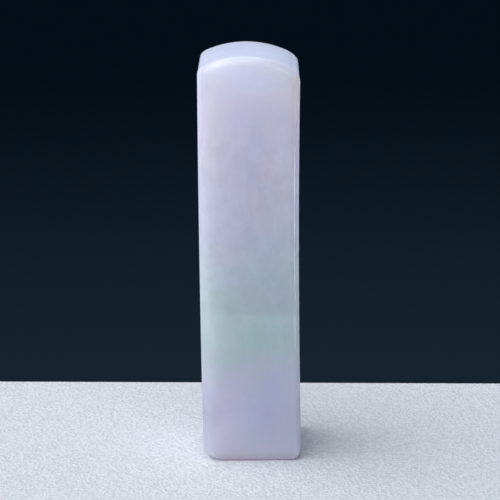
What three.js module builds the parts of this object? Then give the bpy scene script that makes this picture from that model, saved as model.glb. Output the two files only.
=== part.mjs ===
// Seal stamp: one tall square stone with an arched crown, ground and polished all over.
// Millimetres, +Z up. The origin is the centre of the seal face, the flat base that is inked
// and pressed, and the front of the stone faces -Y. "Left" and "right" are as the front is seen.

import * as THREE from 'three';

// Overall size
const bodyWidth = 15;
const bodyDepth = 15;
const overallHeight = 62.3;

// The crown is one arch across the front, the same from front to back. It was ground by eye,
// so its highest line lies a little to the left of the middle.
const crownRadius = 14.85;
const crownShift = -0.55;

// Each shoulder is eased over a stretch of the side and a stretch of the arch.
const leftShoulderSide = 1.0;
const leftShoulderArch = 1.2;
const rightShoulderSide = 1.4;
const rightShoulderArch = 2.4;

// Each foot corner is a quarter of an ellipse, taller than it is wide.
const leftFootWidth = 2.05;
const leftFootHeight = 3.0;
const rightFootWidth = 1.1;
const rightFootHeight = 2.6;

// Hand grinding left the sides not quite flat.
const leftSideSwell = 0.11;
const rightSideHollow = 0.27;

// Radii of the rounded edges round the front face and the back face. The left one widens from
// the crown's radius down to its own.
const footEdge = 0.35;
const rightEdge = 0.9;
const crownEdge = 1.2;
const leftEdge = 1.6;

// A rounded edge never takes more than this share of the bend that it follows.
const edgeShareOfBend = 0.85;

// Facets along each stretch of the outline, and across a rounded edge
const footSteps = 8;
const sideSteps = 8;
const shoulderSteps = 7;
const crownSteps = 22;
const edgeSteps = 6;

const halfWidth = bodyWidth / 2;
const halfDepth = bodyDepth / 2;
const crownCentre = new THREE.Vector2(crownShift, overallHeight - crownRadius);

function crownPoint(angle) {
  return new THREE.Vector2(Math.cos(angle), Math.sin(angle))
    .multiplyScalar(crownRadius)
    .add(crownCentre);
}

// A shoulder leads from the side at x up to the arch, tangent to both. Its end on the arch is
// archLength away from the corner that the side and the arch would make.
function shoulder(x, sideLength, archLength) {
  const cornerAngle = Math.acos((x - crownCentre.x) / crownRadius);
  const endAngle = cornerAngle + Math.sign(x) * archLength / crownRadius;
  const start = new THREE.Vector2(x, crownPoint(cornerAngle).y - sideLength);
  const end = crownPoint(endAngle);
  const rise = (end.x - x) / Math.tan(endAngle);
  return { start, control: new THREE.Vector2(x, end.y + rise), end, endAngle };
}

const left = shoulder(-halfWidth, leftShoulderSide, leftShoulderArch);
const right = shoulder(halfWidth, rightShoulderSide, rightShoulderArch);

const leftFoot = new THREE.Vector2(-halfWidth + leftFootWidth, leftFootHeight);
const rightFoot = new THREE.Vector2(halfWidth - rightFootWidth, rightFootHeight);
const leftSideFoot = new THREE.Vector2(-halfWidth, leftFootHeight);
const rightSideFoot = new THREE.Vector2(halfWidth, rightFootHeight);

// A side that bends by the given amount at its middle, outwards or inwards
function bentSide(from, to, bend) {
  const middle = from.clone().lerp(to, 0.5);
  middle.x += 2 * bend;
  return new THREE.QuadraticBezierCurve(from, middle, to);
}

function footCorner(centre, width, height, startAngle) {
  return new THREE.EllipseCurve(
    centre.x, centre.y, width, height, startAngle, startAngle + Math.PI / 2);
}

// The outline as the front shows it, anticlockwise from the left end of the seal face. Each
// stretch gives the radius of the rounded edge at its start and at its end.
const stretches = [
  {
    curve: new THREE.LineCurve(
      new THREE.Vector2(leftFoot.x, 0), new THREE.Vector2(rightFoot.x, 0)),
    steps: 1, edges: [footEdge, footEdge],
  },
  {
    curve: footCorner(rightFoot, rightFootWidth, rightFootHeight, -Math.PI / 2),
    steps: footSteps, edges: [footEdge, rightEdge],
  },
  {
    curve: bentSide(rightSideFoot, right.start, -rightSideHollow),
    steps: sideSteps, edges: [rightEdge, rightEdge],
  },
  {
    curve: new THREE.QuadraticBezierCurve(right.start, right.control, right.end),
    steps: shoulderSteps, edges: [rightEdge, crownEdge],
  },
  {
    curve: new THREE.EllipseCurve(
      crownCentre.x, crownCentre.y, crownRadius, crownRadius, right.endAngle, left.endAngle),
    steps: crownSteps, edges: [crownEdge, crownEdge],
  },
  {
    curve: new THREE.QuadraticBezierCurve(left.end, left.control, left.start),
    steps: shoulderSteps, edges: [crownEdge, crownEdge],
  },
  {
    curve: bentSide(left.start, leftSideFoot, -leftSideSwell),
    steps: sideSteps, edges: [crownEdge, leftEdge],
  },
  {
    curve: footCorner(leftFoot, leftFootWidth, leftFootHeight, Math.PI),
    steps: footSteps, edges: [leftEdge, footEdge],
  },
];

// Radius of the bend in a curve near t, from how far its tangent turns along a short piece
function bendRadius(curve, t) {
  const before = Math.max(t - 0.01, 0);
  const after = Math.min(t + 0.01, 1);
  const turn = Math.abs(curve.getTangent(before).angleTo(curve.getTangent(after)));
  const length = curve.getPoint(before).distanceTo(curve.getPoint(after));
  return turn > 1e-6 ? length / turn : Infinity;
}

// Points of the outline, each with its outward direction and its edge radius
function traceOutline() {
  const trace = [];
  for (const { curve, steps, edges } of stretches) {
    for (let step = 0; step < steps; step++) {
      const t = step / steps;
      const tangent = curve.getTangent(t);
      const wanted = THREE.MathUtils.lerp(...edges, THREE.MathUtils.smoothstep(t, 0, 1));
      trace.push({
        point: curve.getPoint(t),
        outward: new THREE.Vector2(tangent.y, -tangent.x),
        edge: Math.min(wanted, edgeShareOfBend * bendRadius(curve, t)),
      });
    }
  }
  return trace;
}

// One ring round the stone. The angle runs from 0 on the sides to a right angle on the flat
// face, and faceSign is -1 towards the front and 1 towards the back.
function ringAt(outline, angle, faceSign) {
  return outline.map(({ point, outward, edge }) => {
    const inset = edge * (1 - Math.cos(angle));
    const depth = halfDepth - edge * (1 - Math.sin(angle));
    return new THREE.Vector3(
      point.x - outward.x * inset, faceSign * depth, point.y - outward.y * inset);
  });
}

// The stone is a loft through the rings, from the front face to the back face.
function stoneGeometry() {
  const outline = traceOutline();
  const count = outline.length;
  const angles = Array.from({ length: edgeSteps + 1 }, (_, i) => i / edgeSteps * Math.PI / 2);
  const rings = [
    ...angles.toReversed().map((angle) => ringAt(outline, angle, -1)),
    ...angles.map((angle) => ringAt(outline, angle, 1)),
  ];

  const faces = [];
  for (let ring = 0; ring < rings.length - 1; ring++) {
    for (let i = 0; i < count; i++) {
      const next = (i + 1) % count;
      const [a, b] = [ring * count + i, ring * count + next];
      const [c, d] = [b + count, a + count];
      faces.push(a, d, c, a, c, b);
    }
  }

  const flatFace = rings[0].map(({ x, z }) => new THREE.Vector2(x, z));
  const backStart = (rings.length - 1) * count;
  for (const [a, b, c] of THREE.ShapeUtils.triangulateShape(flatFace, [])) {
    faces.push(a, b, c);
    faces.push(backStart + a, backStart + c, backStart + b);
  }

  const geometry = new THREE.BufferGeometry().setFromPoints(rings.flat());
  geometry.setIndex(faces);
  geometry.computeVertexNormals();
  return geometry;
}

const polishedJade = new THREE.MeshStandardMaterial({
  color: 0xc2c1dc,
  roughness: 0.12,
  metalness: 0,
});

const sealStone = new THREE.Mesh(stoneGeometry(), polishedJade);
sealStone.name = 'seal_stone';

const sealStamp = new THREE.Group();
sealStamp.add(sealStone);

export default sealStamp;
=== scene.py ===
# A jadeite seal stone standing on a pale leather pad, in a room that is brightest on the left.
# Lengths in the dictionaries are millimetres and angles are degrees; mm turns a length into metres.

import math

import bmesh
import bpy
from mathutils import Matrix, Vector


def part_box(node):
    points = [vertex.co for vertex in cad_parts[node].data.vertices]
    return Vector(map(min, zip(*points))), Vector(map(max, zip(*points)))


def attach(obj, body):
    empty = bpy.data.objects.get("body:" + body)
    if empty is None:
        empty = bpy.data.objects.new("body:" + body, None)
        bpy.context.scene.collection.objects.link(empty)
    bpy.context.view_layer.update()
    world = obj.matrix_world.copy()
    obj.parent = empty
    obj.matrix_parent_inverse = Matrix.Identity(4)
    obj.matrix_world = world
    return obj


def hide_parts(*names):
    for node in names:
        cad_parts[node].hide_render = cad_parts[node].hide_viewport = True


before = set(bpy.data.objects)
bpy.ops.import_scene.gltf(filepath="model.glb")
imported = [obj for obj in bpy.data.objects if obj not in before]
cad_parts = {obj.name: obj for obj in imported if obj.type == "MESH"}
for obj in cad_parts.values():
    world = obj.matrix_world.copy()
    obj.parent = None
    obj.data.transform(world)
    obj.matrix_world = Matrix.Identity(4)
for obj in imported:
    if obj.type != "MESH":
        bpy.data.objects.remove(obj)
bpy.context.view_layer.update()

mm = 0.001
stoneLow, stoneHigh = (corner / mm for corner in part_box("seal_stone"))
print("frame loaded, stone", [round(side, 2) for side in stoneHigh - stoneLow], "mm")


# Camera, at the distance and height that the stone's outline was seen from
cameraView = {
    "place": (2.988, -301.119, 115.726),
    "aim": (-0.101, 0, 31.33),
    "roll": -0.578,
    "lens": 147.9,
    "sensor": 36,
}


def addCamera():
    place = Vector(cameraView["place"]) * mm
    aim = Vector(cameraView["aim"]) * mm
    bpy.ops.object.camera_add(location=place)
    camera = bpy.context.object
    camera.name = "camera"
    facing = (aim - place).to_track_quat("-Z", "Y").to_matrix().to_4x4()
    roll = Matrix.Rotation(math.radians(cameraView["roll"]), 4, "Z")
    camera.matrix_world = Matrix.Translation(place) @ facing @ roll
    camera.data.sensor_width = cameraView["sensor"]
    camera.data.lens = cameraView["lens"]
    bpy.context.scene.camera = camera


addCamera()
print("camera placed")


# Small helpers for modelling and for node trees

def deselectAll():
    for item in bpy.context.selected_objects:
        item.select_set(False)


def pickEdges(test):
    # in edit mode, selects only the edges that pass the test
    bpy.ops.mesh.select_mode(type="EDGE")
    bpy.ops.mesh.select_all(action="DESELECT")
    form = bmesh.from_edit_mesh(bpy.context.object.data)
    for edge in form.edges:
        if test(edge):
            edge.select_set(True)
    form.select_flush_mode()
    bmesh.update_edit_mesh(bpy.context.object.data)


def selectedMiddle():
    form = bmesh.from_edit_mesh(bpy.context.object.data)
    places = [vertex.co for vertex in form.verts if vertex.select]
    return sum(places, Vector()) / len(places)


def node(tree, kind, values={}, **settings):
    # adds a shader node, whose sockets the values fill; a value that is a socket is linked
    made = tree.nodes.new("ShaderNode" + kind)
    for name, setting in settings.items():
        setattr(made, name, setting)
    for name, value in values.items():
        if isinstance(value, bpy.types.NodeSocket):
            tree.links.new(value, made.inputs[name])
        else:
            made.inputs[name].default_value = value
    return made


def mapRange(tree, value, fromMin, fromMax, toMin=0.0, toMax=1.0, smooth=True):
    made = node(
        tree, "MapRange",
        {"Value": value, "From Min": fromMin, "From Max": fromMax, "To Min": toMin, "To Max": toMax},
        interpolation_type="SMOOTHSTEP" if smooth else "LINEAR")
    return made.outputs["Result"]


def mixColour(tree, factor, first, second, blend="MIX"):
    made = node(tree, "Mix", data_type="RGBA", blend_type=blend)
    for index, value in ((0, factor), (6, first), (7, second)):
        if isinstance(value, bpy.types.NodeSocket):
            tree.links.new(value, made.inputs[index])
        else:
            made.inputs[index].default_value = value
    return made.outputs[2]


def calculate(tree, operation, first, second=0.0):
    made = node(tree, "Math", operation=operation)
    for index, value in enumerate((first, second)):
        if isinstance(value, bpy.types.NodeSocket):
            tree.links.new(value, made.inputs[index])
        else:
            made.inputs[index].default_value = value
    return made.outputs[0]


def newMaterial(name):
    material = bpy.data.materials.new(name)
    material.use_nodes = True
    tree = material.node_tree
    tree.nodes.clear()
    surface = node(tree, "BsdfPrincipled")
    node(tree, "OutputMaterial", {"Surface": surface.outputs["BSDF"]})
    millimetres = node(
        tree, "VectorMath",
        {0: node(tree, "TexCoord").outputs["Object"], "Scale": 1 / mm}, operation="SCALE")
    return material, tree, surface, millimetres.outputs["Vector"]


# The stone is drawn round its outline from the seal face, as a band as wide as the stone is deep,
# and the two flat faces are filled in. It is modelled in millimetres and shrunk at the end.
sealStone = {
    "crownRadius": 14.85,
    "crownShift": -0.55,         # the crown's highest line lies left of the middle
    "leftShoulder": (1.0, 1.2),  # length eased off the side, and off the arch
    "rightShoulder": (1.4, 2.4),
    "leftFoot": (3.2, 2.4),      # width and height of the foot's rounded corner
    "rightFoot": (1.45, 1.8),
    "leftSwell": 0.11,           # how far the sides bend, outwards and inwards
    "rightHollow": 0.27,
    # radii of the rounded edges round the front and the back
    "edges": {"foot": 0.35, "right": 0.9, "crown": 1.2, "left": 1.6},
    "edgeProfile": 0.5,
    "edgeSegments": 12,
    "turnPerStep": 1.8,          # a bend is drawn in steps that turn by less than this
    "sideSteps": 24,
    "mergeDistance": 0.001,
}

halfWidth = stoneHigh.x
halfDepth = stoneHigh.y
crownCentre = Vector((sealStone["crownShift"], stoneHigh.z - sealStone["crownRadius"]))


def crownPoint(angle):
    direction = Vector((math.cos(angle), math.sin(angle)))
    return crownCentre + direction * sealStone["crownRadius"]


def shoulder(side, lengths):
    # the ends of a shoulder and the corner that it eases, side is 1 on the right and -1 on the left
    sideLength, archLength = lengths
    sideX = side * halfWidth
    cornerAngle = math.acos((sideX - crownCentre.x) / sealStone["crownRadius"])
    archAngle = cornerAngle + side * archLength / sealStone["crownRadius"]
    sideEnd = Vector((sideX, crownPoint(cornerAngle).y - sideLength))
    archEnd = crownPoint(archAngle)
    corner = Vector((sideX, archEnd.y + (archEnd.x - sideX) / math.tan(archAngle)))
    return {"sideEnd": sideEnd, "corner": corner, "archEnd": archEnd, "archAngle": archAngle}


leftShoulder = shoulder(-1, sealStone["leftShoulder"])
rightShoulder = shoulder(1, sealStone["rightShoulder"])


def stepsFor(turn):
    return math.ceil(math.degrees(abs(turn)) / sealStone["turnPerStep"])


def easedPoints(start, corner, end):
    # a parabola tangent to both legs of the corner, in steps of an equal turn
    legIn, legOut = corner - start, end - corner
    turn = legIn.angle(legOut)
    count = stepsFor(turn)
    for step in range(1, count + 1):
        angle = turn * step / count
        before = legIn.length * math.sin(angle)
        after = legOut.length * math.sin(turn - angle)
        t = before / (before + after)
        yield start.lerp(corner, t).lerp(corner.lerp(end, t), t)


def footPoints(centre, size, fromAngle):
    # a quarter of an ellipse, in steps of an equal turn, anticlockwise
    width, height = size
    count = stepsFor(math.pi / 2)
    for step in range(1, count + 1):
        angle = fromAngle + math.pi / 2 * step / count
        along, up = math.cos(angle), math.sin(angle)
        scale = 1 / math.hypot(width * along, height * up)
        yield centre + Vector((width ** 2 * along, height ** 2 * up)) * scale


def bentPoints(start, end, bend):
    middle = start.lerp(end, 0.5) + Vector((2 * bend, 0))
    count = sealStone["sideSteps"]
    for step in range(1, count + 1):
        t = step / count
        yield start.lerp(middle, t).lerp(middle.lerp(end, t), t)


def drawThrough(points):
    # extrudes the selected edge from point to point of the front outline
    for point in points:
        here = selectedMiddle()
        bpy.ops.mesh.extrude_region_move(
            TRANSFORM_OT_translate={"value": (point.x - here.x, 0, point.y - here.z)})


def blendBetween(first, second, share):
    share = min(max(share, 0), 1)
    return first + (second - first) * share * share * (3 - 2 * share)


def edgeRadius(x, z):
    # the radius of the rounded edge at a place on the outline
    edges = sealStone["edges"]
    side, foot = ("right", "rightFoot") if x > 0 else ("left", "leftFoot")
    footHeight = sealStone[foot][1]
    if z < footHeight:
        turned = math.acos(1 - z / footHeight) / (math.pi / 2)
        return blendBetween(edges["foot"], edges[side], turned)
    if x > 0:
        start, end = rightShoulder["sideEnd"].y, rightShoulder["archEnd"].y
    else:
        start, end = footHeight, leftShoulder["sideEnd"].y
    return blendBetween(edges[side], edges["crown"], (z - start) / (end - start))


def modelStone():
    leftFoot, rightFoot = sealStone["leftFoot"], sealStone["rightFoot"]
    leftFootCentre = Vector((leftFoot[0] - halfWidth, leftFoot[1]))
    rightFootCentre = Vector((halfWidth - rightFoot[0], rightFoot[1]))
    faceWidth = rightFootCentre.x - leftFootCentre.x
    faceMiddle = (rightFootCentre.x + leftFootCentre.x) / 2

    deselectAll()
    bpy.ops.mesh.primitive_plane_add(size=1, location=(faceMiddle, 0, 0))
    stone = bpy.context.object
    stone.name = stone.data.name = "polished_stone"
    stone.scale = (faceWidth, 2 * halfDepth, 1)
    bpy.ops.object.transform_apply(location=True, rotation=True, scale=True)
    bpy.ops.object.mode_set(mode="EDIT")
    pickEdges(lambda edge: all(vertex.co.x > faceMiddle for vertex in edge.verts))

    drawThrough(footPoints(rightFootCentre, rightFoot, -math.pi / 2))
    drawThrough(bentPoints(
        Vector((halfWidth, rightFoot[1])), rightShoulder["sideEnd"], -sealStone["rightHollow"]))
    drawThrough(easedPoints(
        rightShoulder["sideEnd"], rightShoulder["corner"], rightShoulder["archEnd"]))
    crownTurn = leftShoulder["archAngle"] - rightShoulder["archAngle"]
    bpy.ops.mesh.spin(
        steps=stepsFor(crownTurn), angle=crownTurn,
        center=(crownCentre.x, 0, crownCentre.y), axis=(0, 1, 0))
    drawThrough(easedPoints(
        leftShoulder["archEnd"], leftShoulder["corner"], leftShoulder["sideEnd"]))
    drawThrough(bentPoints(
        leftShoulder["sideEnd"], Vector((-halfWidth, leftFoot[1])), -sealStone["leftSwell"]))
    drawThrough(footPoints(leftFootCentre, leftFoot, math.pi))

    bpy.ops.mesh.select_all(action="SELECT")
    bpy.ops.mesh.remove_doubles(threshold=sealStone["mergeDistance"])
    pickEdges(lambda edge: edge.is_boundary)
    bpy.ops.mesh.fill_holes(sides=0)
    bpy.ops.mesh.select_all(action="SELECT")
    bpy.ops.mesh.normals_make_consistent(inside=False)
    bpy.ops.object.mode_set(mode="OBJECT")

    # the rounded edges round the front and the back, as wide as the weight of each edge says
    widest = max(sealStone["edges"].values())
    weights = stone.data.attributes.new("bevel_weight_edge", "FLOAT", "EDGE")
    for edge in stone.data.edges:
        start, end = (stone.data.vertices[index].co for index in edge.vertices)
        if abs(start.y - end.y) < halfDepth:
            middle = (start + end) / 2
            weights.data[edge.index].value = edgeRadius(middle.x, middle.z) / widest
    bevel = stone.modifiers.new("rounded edges", "BEVEL")
    bevel.limit_method = "WEIGHT"
    bevel.width = widest
    bevel.segments = sealStone["edgeSegments"]
    bevel.profile = sealStone["edgeProfile"]
    bevel.use_clamp_overlap = False
    bevel.harden_normals = True
    bpy.ops.object.shade_smooth()
    bpy.ops.object.modifier_apply(modifier=bevel.name)

    stone.scale = (mm, mm, mm)
    bpy.ops.object.transform_apply(location=False, rotation=False, scale=True)
    return stone


stone = modelStone()
print("stone modelled,", len(stone.data.vertices), "points")


# Jade: a polished, translucent stone whose colour changes through its depth. The zones give the
# colour by height. The patches tint it, each in an ellipsoid that the cloud draws out of shape;
# some zones and patches paint light or shade, as their notes say.
jade = {
    # Lighter towards the top: partly the stone's own colour, partly painted light for the light that
    # comes in through the crown. The top two are bluer: painted light, the blue that the crown takes
    # from the room above it. The band at the seal face is lighter than the foot above it: painted
    # light against the shade there.
    "zones": (
        (0, (0.528, 0.514, 0.656)),
        (4, (0.436, 0.422, 0.556)),
        (9, (0.416, 0.400, 0.535)),
        (14, (0.404, 0.424, 0.524)),
        (19.5, (0.368, 0.446, 0.470)),
        (25, (0.412, 0.476, 0.520)),
        (31, (0.461, 0.502, 0.590)),
        (38, (0.511, 0.512, 0.634)),
        (47, (0.576, 0.550, 0.690)),
        (54, (0.624, 0.594, 0.746)),
        (57, (0.630, 0.606, 0.766)),
        (60, (0.594, 0.598, 0.786)),
        (62, (0.565, 0.578, 0.772)),
    ),
    "patches": (                   # middle, radii, tint
        ((2.3, -7, 19.8), (6.2, 12, 4.9), (0.92, 1.03, 0.995)),      # mint
        ((-4.5, -6, 23), (5.0, 10, 8.0), (1.0, 1.03, 0.99)),         # soft green
        ((3.6, -7, 32.5), (6.4, 10, 6.6), (0.955, 1.01, 1.01)),      # grey green
        ((-3.9, -7, 33), (2.4, 5, 2.8), (1.03, 0.99, 0.98)),
        ((-4.8, -8, 7), (1.9, 8, 9.5), (1.025, 0.99, 1.0)),          # violet streak in the foot
        ((3.2, -7, 6), (6.0, 9, 9.5), (0.95, 0.998, 1.03)),          # blue
        ((0.9, -8, 46.5), (1.8, 6, 7.0), (0.96, 0.995, 1.01)),       # blue streak
        ((3.0, -7, 46), (2.6, 7, 4.0), (1.03, 0.99, 0.975)),         # rose
        ((5.0, -7, 43), (2.2, 7, 4.0), (1.02, 0.99, 0.975)),
        ((0.4, -7, 40.5), (2.2, 6, 2.4), (1.025, 0.985, 0.985)),
        ((7.0, -5, 39), (1.6, 8, 6.0), (0.955, 1.01, 1.01)),
        ((-5.0, -8, 53), (3.2, 8, 10), (1.0, 0.995, 0.97)),          # warmer at the top's left
        ((8.5, -2, 49), (6.8, 14, 27), (1.05, 1.08, 1.16)),          # bluer down the right side, and painted light that lightens the side facing away from the lamps
        ((8.5, -2, 20), (5.5, 14, 17), (0.95, 0.965, 0.975)),        # painted shade: this one and the next two darken both sides towards the foot
        ((8.5, -2, 3), (4.5, 14, 12), (0.91, 0.93, 0.96)),
        ((-8.5, -2, 3), (4.5, 14, 13), (0.85, 0.86, 0.87)),
        ((-8.5, -2, 42), (3.6, 14, 20), (0.98, 0.995, 1.045)),       # bluer down the left side
        # painted highlight: lighter and bluer just under the crown's front edge
        ((3.5, -7, 58), (6.5, 7, 3.6), (1.035, 1.045, 1.05)),
        ((-5.0, 0, 63), (6.0, 12, 3.4), (0.94, 0.94, 0.94)),         # painted shade on the crown's left and, next, painted light on its right, against how the light falls
        ((5.0, 0, 63), (6.0, 12, 3.4), (1.09, 1.09, 1.08)),
        ((5.5, -7, 53), (3.6, 8, 6), (1.018, 1.0, 1.035)),           # bluer again in places
        ((-7.0, -7, 53), (1.7, 8, 7), (1.0, 1.0, 1.05)),
        ((4.6, -7, 24), (4.4, 8, 6.5), (0.99, 1.0, 1.05)),
        ((5.0, -7, 13.5), (5.0, 8, 5), (1.0, 1.0, 1.05)),
        ((-3.0, -7, 13.5), (4.4, 8, 4.4), (1.03, 0.985, 1.0)),
        ((-1.8, -8, 9), (4.2, 8, 10), (1.05, 1.055, 1.055)),
    ),
    "paintedLightAndShade": (               # painted light and shade, which keep to their places
        ((0, -7.6, 0), (12, 3, 0.6), (1.22, 1.03, 1.15)),            # painted light that lifts the contact shade along the foot's front edge, tinted rosy
        # painted light in the left foot corner, where little light bounces in
        ((-7.2, -7.5, 0.6), (1.6, 3, 1.6), (1.14, 1.10, 1.12)),
        ((-7.6, -7, 59.5), (3.4, 6, 5.0), (0.91, 0.92, 0.935)),      # painted shade, darker in the left shoulder
        # painted light on the right shoulder, lighter and bluer where it faces away from the light
        ((7.8, -7, 57.0), (2.8, 6, 7.0), (1.14, 1.08, 1.20)),
    ),
    "patchCore": 0.4,              # share of a patch's radius that has its full tint
    "warp": 3.2,                   # how far the cloud moves the colours, and the size of its puffs
    "warpSize": 13.0,
    "warpDetail": 2.0,
    "curl": 1.2,                   # a finer cloud on top of it
    "curlSize": 3.0,
    "curlDetail": 3.0,
    "cotton": 0.034,               # how far the wisps lighten or darken the stone
    "cottonSize": (1.5, 1.5, 2.8),
    "cottonDetail": 5.0,
    "cottonRoughness": 0.62,
    "cottonRange": (0.35, 0.65),   # values of the pattern that give the darkest and the lightest
    "cottonClear": (12, 24, 48, 56),   # fewer wisps below the first height and above the last
    "clearShare": 0.3,
    "tinge": 0.010,                # how far each colour drifts between violet and green
    "tingeSize": 1.7,
    "tingeDetail": 4.0,
    "tingeRoughness": 0.65,
    "tingeRange": (0.35, 0.65),
    "grain": 0.009,                # the finest grain, lighter and darker
    "grainSize": 0.32,
    "grainDetail": 2.0,
    "grainRange": (0.3, 0.7),
    "speck": 0.05,                 # how much lighter the specks are, and how wide, inside and out
    "speckSpacing": 2.6,
    "speckRadii": (0.03, 0.09),
    "roughness": 0.03,
    "faceRoughness": 0.35,         # the seal face is satin, up to these heights
    "faceHeights": (0.005, 0.03),
    "ripple": 0.0022,              # depth and width of the faint waves that polishing leaves
    "rippleSize": 6.0,
    "rippleDetail": 1.0,
    "crownRipple": 0.026,          # and of those on the crown, which was ground by hand
    "crownRippleSize": 2.2,
    "crownRippleDetail": 3.0,
    "crownHeights": (55, 59),
    "refraction": 1.66,
    "glow": (1.0, 1.0, 1.05),      # how far light travels in the stone, by colour
    "glowLength": 18.0,
    "footGlow": 0.4,               # share of that length at the seal face, full again above the foot
    "footGlowHeight": 6.0,
}


def shifted(tree, place, size, reach, detail):
    # the place, moved by up to about the reach in a direction that changes over the size
    cloud = node(tree, "TexNoise", {"Vector": place, "Scale": 1 / size, "Detail": detail})
    shift = node(
        tree, "VectorMath", {0: cloud.outputs["Color"], 1: (0.5, 0.5, 0.5)}, operation="SUBTRACT")
    shift = node(
        tree, "VectorMath", {0: shift.outputs["Vector"], "Scale": 2 * reach}, operation="SCALE")
    moved = node(tree, "VectorMath", {0: place, 1: shift.outputs["Vector"]}, operation="ADD")
    return moved.outputs["Vector"]


def zoneColour(tree, place):
    top = jade["zones"][-1][0]
    height = node(tree, "SeparateXYZ", {"Vector": place}).outputs["Z"]
    zones = node(tree, "ValToRGB", {"Fac": calculate(tree, "DIVIDE", height, top)})
    ramp = zones.color_ramp
    ramp.interpolation = "B_SPLINE"
    while len(ramp.elements) < len(jade["zones"]):
        ramp.elements.new(0.5)
    for element, (position, colour) in zip(ramp.elements, jade["zones"]):
        element.position = position / top
        element.color = (*colour, 1)
    return zones.outputs["Color"]


def tintPatch(tree, colour, place, middle, radii, tint):
    offset = node(tree, "VectorMath", {0: place, 1: middle}, operation="SUBTRACT")
    offset = node(
        tree, "VectorMath", {0: offset.outputs["Vector"], 1: radii}, operation="DIVIDE")
    distance = node(tree, "VectorMath", {0: offset.outputs["Vector"]}, operation="LENGTH")
    share = mapRange(tree, distance.outputs["Value"], jade["patchCore"], 1, 1, 0)
    return mixColour(tree, share, colour, (*tint, 1), "MULTIPLY")


def brighten(tree, colour, value, low, high, least, most):
    # multiplies the colour by a factor between least and most as the value goes from low to high
    factor = mapRange(tree, value, low, high, least, most)
    scaled = node(tree, "VectorMath", {0: colour, "Scale": factor}, operation="SCALE")
    return scaled.outputs["Vector"]


def jadeMaterial():
    material, tree, surface, place = newMaterial("polished jade")
    clouded = shifted(tree, place, jade["warpSize"], jade["warp"], jade["warpDetail"])
    curled = shifted(tree, clouded, jade["curlSize"], jade["curl"], jade["curlDetail"])

    colour = zoneColour(tree, curled)
    for middle, radii, tint in jade["patches"]:
        colour = tintPatch(tree, colour, curled, middle, radii, tint)
    for middle, radii, tint in jade["paintedLightAndShade"]:
        colour = tintPatch(tree, colour, place, middle, radii, tint)

    stretched = node(tree, "VectorMath", {0: curled, 1: jade["cottonSize"]}, operation="DIVIDE")
    cotton = node(
        tree, "TexNoise",
        {"Vector": stretched.outputs["Vector"], "Scale": 1.0, "Detail": jade["cottonDetail"],
         "Roughness": jade["cottonRoughness"]})
    grain = node(
        tree, "TexNoise",
        {"Vector": place, "Scale": 1 / jade["grainSize"], "Detail": jade["grainDetail"]})
    specks = node(
        tree, "TexVoronoi", {"Vector": place, "Scale": 1 / jade["speckSpacing"]})
    height = node(tree, "SeparateXYZ", {"Vector": place}).outputs["Z"]
    start, full, fading, end = jade["cottonClear"]
    wispy = calculate(
        tree, "MULTIPLY", mapRange(tree, height, start, full, jade["clearShare"], 1),
        mapRange(tree, height, fading, end, 1, jade["clearShare"]))
    wisps = brighten(
        tree, colour, cotton.outputs["Fac"], *jade["cottonRange"],
        1 - jade["cotton"], 1 + jade["cotton"])
    colour = mixColour(tree, wispy, colour, wisps)
    tinge = node(
        tree, "TexNoise",
        {"Vector": curled, "Scale": 1 / jade["tingeSize"], "Detail": jade["tingeDetail"],
         "Roughness": jade["tingeRoughness"]})
    drift = jade["tinge"]
    tint = mixColour(
        tree, mapRange(tree, tinge.outputs["Fac"], *jade["tingeRange"]),
        (1 + drift, 1 - drift / 2, 1, 1), (1 - drift, 1 + drift / 2, 1, 1))
    colour = mixColour(tree, 1.0, colour, tint, "MULTIPLY")
    colour = brighten(
        tree, colour, grain.outputs["Fac"], *jade["grainRange"],
        1 - jade["grain"], 1 + jade["grain"])
    colour = brighten(
        tree, colour, specks.outputs["Distance"], *jade["speckRadii"], 1 + jade["speck"], 1)

    polish = mapRange(
        tree, height, *jade["faceHeights"], jade["faceRoughness"], jade["roughness"],
        smooth=False)
    length = jade["glowLength"] * mm
    glow = mapRange(tree, height, 0, jade["footGlowHeight"], jade["footGlow"] * length, length)
    waves = node(
        tree, "TexNoise",
        {"Vector": place, "Scale": 1 / jade["rippleSize"], "Detail": jade["rippleDetail"]})
    ripple = node(
        tree, "Bump",
        {"Height": waves.outputs["Fac"], "Strength": 1.0, "Distance": jade["ripple"] * mm})
    crownWaves = node(
        tree, "TexNoise",
        {"Vector": place, "Scale": 1 / jade["crownRippleSize"],
         "Detail": jade["crownRippleDetail"]})
    crownRipple = node(
        tree, "Bump",
        {"Height": crownWaves.outputs["Fac"],
         "Strength": mapRange(tree, height, *jade["crownHeights"]),
         "Distance": jade["crownRipple"] * mm, "Normal": ripple.outputs["Normal"]})

    tree.links.new(colour, surface.inputs["Base Color"])
    tree.links.new(polish, surface.inputs["Roughness"])
    tree.links.new(crownRipple.outputs["Normal"], surface.inputs["Normal"])
    surface.inputs["IOR"].default_value = jade["refraction"]
    surface.inputs["Subsurface Weight"].default_value = 1.0
    surface.inputs["Subsurface Radius"].default_value = jade["glow"]
    tree.links.new(glow, surface.inputs["Subsurface Scale"])
    return material


stone.data.materials.clear()
stone.data.materials.append(jadeMaterial())
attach(stone, "root")
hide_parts("seal_stone")
print("jade finished")


# The pad: a slab of pale grained leather that ends a little behind the stone
pad = {
    "front": ((-320, -137), (320, -26)),   # its left and right corners
    "back": ((-320, 38.7), (320, 18.2)),
    "thickness": 4,
    "gap": 0.02,                   # between it and the seal face
    "colour": (0.762, 0.785, 0.832),
    "roughness": 0.55,
    "grain": 0.43,
    "grainDepth": 0.16,
    "poresPerGrain": 2.2,
    "poreDetail": 3.0,
    "reliefRange": (-0.15, 0.35),  # how high the creases between the grains are, and the tops
    "creaseShadeAndTopLight": (0.85, 1.03),        # painted shade in the creases and painted light on the tops of the grains
}


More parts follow.
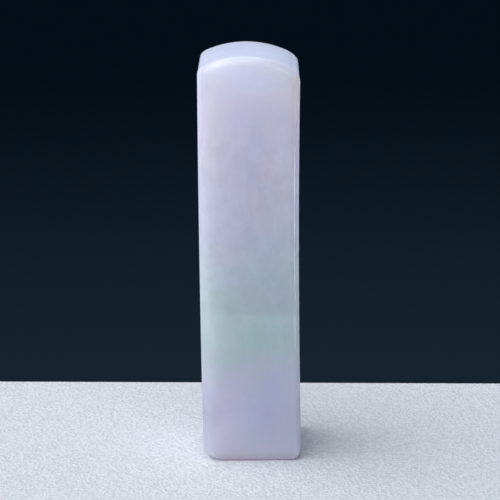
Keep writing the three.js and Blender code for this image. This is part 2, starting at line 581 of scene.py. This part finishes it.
def modelPad():
    deselectAll()
    bpy.ops.mesh.primitive_plane_add(size=2, location=(0, 0, 0))
    slab = bpy.context.object
    slab.name = slab.data.name = "leather_pad"
    for vertex in slab.data.vertices:
        left, right = pad["back"] if vertex.co.y > 0 else pad["front"]
        x, y = right if vertex.co.x > 0 else left
        vertex.co = (x * mm, y * mm, -pad["gap"] * mm)
    bpy.ops.object.mode_set(mode="EDIT")
    bpy.ops.mesh.select_all(action="SELECT")
    bpy.ops.mesh.extrude_region_move(
        TRANSFORM_OT_translate={"value": (0, 0, -pad["thickness"] * mm)})
    bpy.ops.mesh.select_all(action="SELECT")
    bpy.ops.mesh.normals_make_consistent(inside=False)
    bpy.ops.object.mode_set(mode="OBJECT")
    return slab


def leatherMaterial():
    material, tree, surface, place = newMaterial("pale leather")
    cells = node(
        tree, "TexVoronoi", {"Vector": place, "Scale": 1 / pad["grain"]}, feature="SMOOTH_F1")
    pores = node(
        tree, "TexNoise",
        {"Vector": place, "Scale": pad["poresPerGrain"] / pad["grain"],
         "Detail": pad["poreDetail"]})
    relief = calculate(tree, "SUBTRACT", pores.outputs["Fac"], cells.outputs["Distance"])
    bump = node(
        tree, "Bump", {"Height": relief, "Distance": pad["grainDepth"] * mm, "Strength": 1.0})
    colour = brighten(tree, pad["colour"], relief, *pad["reliefRange"], *pad["creaseShadeAndTopLight"])
    tree.links.new(colour, surface.inputs["Base Color"])
    surface.inputs["Roughness"].default_value = pad["roughness"]
    tree.links.new(bump.outputs["Normal"], surface.inputs["Normal"])
    return material


leatherPad = modelPad()
leatherPad.data.materials.append(leatherMaterial())
print("pad laid")


# Light: the room is brightest on the left, overhead, and in front near the horizon. The camera
# sees a dark backdrop instead, and the polish reflects that backdrop and a paler room round it.
# The first cards only show in the polish, as the highlights on the crown and down the right edge.
# The two bounce cards give the pad the light that the stone throws on it on the left and in front.
room = {
    "glows": (                            # azimuth from the front to the right, height, strength
        (-90, 45, 1.50),
        (-45, 45, 0.74),
        (-135, 45, 0.62),
        (0, 90, 0.56),
        (0, 45, 0.23),
        (135, 45, 0.30),
        (0, 12, 1.62),
        (-90, 12, 0.60),
    ),
    "glowSpread": 48,
    "glowColour": (0.95, 0.975, 1.0),
    "reflection": (0.58, 0.68, 0.92),     # the paler room
    "frontShare": 0.2,                    # share of it that is left overhead and in front
    "low": (0.0085, 0.0170, 0.0260),      # the dark backdrop, by height
    "high": (0.0010, 0.0042, 0.0085),
    # where one fades into the other, by the three parts of a direction of length 1
    "backdropHeights": (-0.33, -0.17),    # the backdrop's low and high colour
    "horizon": (-0.05, 0.1),              # the backdrop and the room above it
    "backdropSides": (0.06, 0.20),        # the backdrop and the room beside it
    "sidesFrom": (0, 0.2),                # no room beside it in front of the stone
    "frontToBack": (0.5, 0.95),           # the front's share and the whole
}
cards = {
    "crown_front": {
        "place": (-62, -180, 314), "aim": (-60, -160, 62), "size": (185, 480), "power": 0.45,
        "colour": (0.76, 0.95, 1.0), "inPolish": True},
    "crown_back": {
        "place": (-15, 385, 314), "aim": (-15, 400, 62), "size": (140, 630), "power": 0.37,
        "colour": (0.76, 0.95, 1.0), "inPolish": True},
    "crown_left": {
        "place": (-117, -190, 315), "aim": (-115, -170, 62), "size": (85, 470), "power": 0.10,
        "colour": (0.76, 0.95, 1.0), "inPolish": True},
    "spark_card": {
        "place": (80, -268, 190), "aim": (4.6, -7.4, 60.4), "size": (44, 76), "power": 0.024,
        "colour": (0.9, 0.96, 1.0), "inPolish": True},
    "edge_card": {
        "place": (34, -49, 20), "aim": (0, 0, 20), "size": (3.5, 40), "power": 0.0055,
        "colour": (0.9, 0.96, 1.0), "inPolish": True},
    "left_bounce": {
        "place": (-7.9, -2, 5.5), "aim": (-30, -2, -4), "size": (14, 10), "power": 3.1e-4,
        "colour": (1.0, 0.96, 0.90), "inPolish": False},
    "front_bounce": {
        "place": (-0.5, -8.4, 9), "aim": (-0.5, -26, 4), "size": (15, 17), "power": 4.6e-4,
        "colour": (1.0, 0.98, 0.95), "inPolish": False},
}


def addCard(name, values):
    place = Vector(values["place"]) * mm
    aim = Vector(values["aim"]) * mm
    bpy.ops.object.light_add(type="AREA", location=place)
    lamp = bpy.context.object
    lamp.name = name
    lamp.rotation_euler = (aim - place).to_track_quat("-Z", "Y").to_euler()
    lamp.data.shape = "RECTANGLE"
    lamp.data.size, lamp.data.size_y = (side * mm for side in values["size"])
    lamp.data.energy = values["power"]
    lamp.data.color = values["colour"]
    lamp.visible_camera = False
    lamp.visible_diffuse = not values["inPolish"]
    lamp.visible_glossy = values["inPolish"]


def glowFrom(tree, direction, azimuth, height, strength):
    azimuth, height = math.radians(azimuth), math.radians(height)
    towards = Vector((
        math.sin(azimuth) * math.cos(height), -math.cos(azimuth) * math.cos(height),
        math.sin(height)))
    facing = node(tree, "VectorMath", {0: direction, 1: towards}, operation="DOT_PRODUCT")
    edge = math.cos(math.radians(room["glowSpread"]))
    return mapRange(tree, facing.outputs["Value"], edge, 1, 0, strength)


def setWorld():
    world = bpy.data.worlds.new("room")
    bpy.context.scene.world = world
    world.use_nodes = True
    tree = world.node_tree
    tree.nodes.clear()
    direction = node(tree, "TexCoord").outputs["Generated"]
    parts = node(tree, "SeparateXYZ", {"Vector": direction})
    slope = parts.outputs["Z"]
    height = mapRange(tree, slope, *room["backdropHeights"])
    dark = mixColour(tree, height, (*room["low"], 1), (*room["high"], 1))
    rays = node(tree, "LightPath")
    aside = mapRange(
        tree, calculate(tree, "ABSOLUTE", parts.outputs["X"]), *room["backdropSides"])
    aside = calculate(
        tree, "MULTIPLY", aside, mapRange(tree, parts.outputs["Y"], *room["sidesFrom"]))
    behind = mapRange(
        tree, parts.outputs["Y"], *room["frontToBack"], room["frontShare"], 1)
    above = calculate(tree, "MULTIPLY", mapRange(tree, slope, *room["horizon"]), behind)
    lit = mixColour(
        tree, calculate(tree, "MAXIMUM", above, aside), dark, (*room["reflection"], 1))
    reflected = mixColour(tree, rays.outputs["Is Glossy Ray"], dark, lit)
    seen = calculate(tree, "MAXIMUM", rays.outputs["Is Camera Ray"], rays.outputs["Is Glossy Ray"])
    seen = calculate(tree, "MAXIMUM", seen, rays.outputs["Is Transmission Ray"])
    strength = 0.0
    for glow in room["glows"]:
        strength = calculate(tree, "ADD", glowFrom(tree, direction, *glow), strength)
    ambient = node(
        tree, "Background", {"Color": (*room["glowColour"], 1), "Strength": strength})
    backdrop = node(tree, "Background", {"Color": reflected, "Strength": 1.0})
    mixed = node(
        tree, "MixShader",
        {0: seen, 1: ambient.outputs["Background"], 2: backdrop.outputs["Background"]})
    node(tree, "OutputWorld", {"Surface": mixed.outputs["Shader"]})


for name, values in cards.items():
    addCard(name, values)
setWorld()
bpy.context.scene.view_settings.view_transform = "Standard"
print("lights set")
